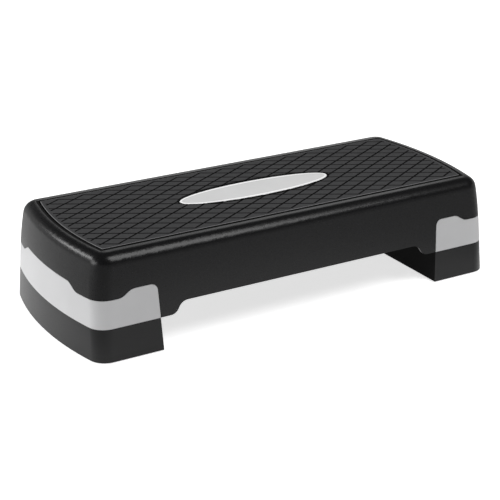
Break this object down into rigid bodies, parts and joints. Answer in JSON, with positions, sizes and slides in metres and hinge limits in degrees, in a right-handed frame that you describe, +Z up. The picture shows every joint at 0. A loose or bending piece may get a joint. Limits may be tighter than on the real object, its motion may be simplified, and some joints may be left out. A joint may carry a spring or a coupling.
{
  "type": "aerobic step platform",
  "caption": "Low exercise step: ribbed black deck with a rhombic grip tread, grey legs in its skirt and pull-off black risers that set its height.",
  "frame": {"origin": "on the floor under the middle of the step, risers on", "axes": "+X along the step to its right end seen from the front, +Y to the back, +Z up"},
  "size_m": [0.6948, 0.2948, 0.15],
  "materials": {
    "deck_plastic": "moulded black polypropylene, satin",
    "tread_rubber": "moulded dark grey thermoplastic rubber, fine grain",
    "oval_plastic": "light grey moulded plastic, satin",
    "leg_plastic": "mid grey moulded polypropylene, satin",
    "riser_plastic": "moulded black polypropylene, satin",
    "foot_rubber": "matt black rubber",
    "screw_steel": "zinc plated"
  },
  "bodies": {
    "deck_and_legs": {"deck": "deck_plastic", "tread_mat": "tread_rubber", "oval_plate": "oval_plastic", "left_leg": "leg_plastic", "left_leg_screws": "screw_steel", "left_leg_foot_front": "foot_rubber", "left_leg_foot_back": "foot_rubber", "right_leg": "leg_plastic", "right_leg_screws": "screw_steel", "right_leg_foot_front": "foot_rubber", "right_leg_foot_back": "foot_rubber"},
    "left_riser": {"left_riser": "riser_plastic", "left_riser_foot_front_inner": "foot_rubber", "left_riser_foot_back_inner": "foot_rubber", "left_riser_foot_front_outer": "foot_rubber", "left_riser_foot_back_outer": "foot_rubber"},
    "right_riser": {"right_riser": "riser_plastic", "right_riser_foot_front_inner": "foot_rubber", "right_riser_foot_back_inner": "foot_rubber", "right_riser_foot_front_outer": "foot_rubber", "right_riser_foot_back_outer": "foot_rubber"}
  },
  "joints": [
    {"name": "left_riser_pull", "type": "slide", "parent": "deck_and_legs", "child": "left_riser", "axis": [0, 0, -1], "range_m": [0, 0.015]},
    {"name": "right_riser_pull", "type": "slide", "parent": "deck_and_legs", "child": "right_riser", "axis": [0, 0, -1], "range_m": [0, 0.015]}
  ]
}
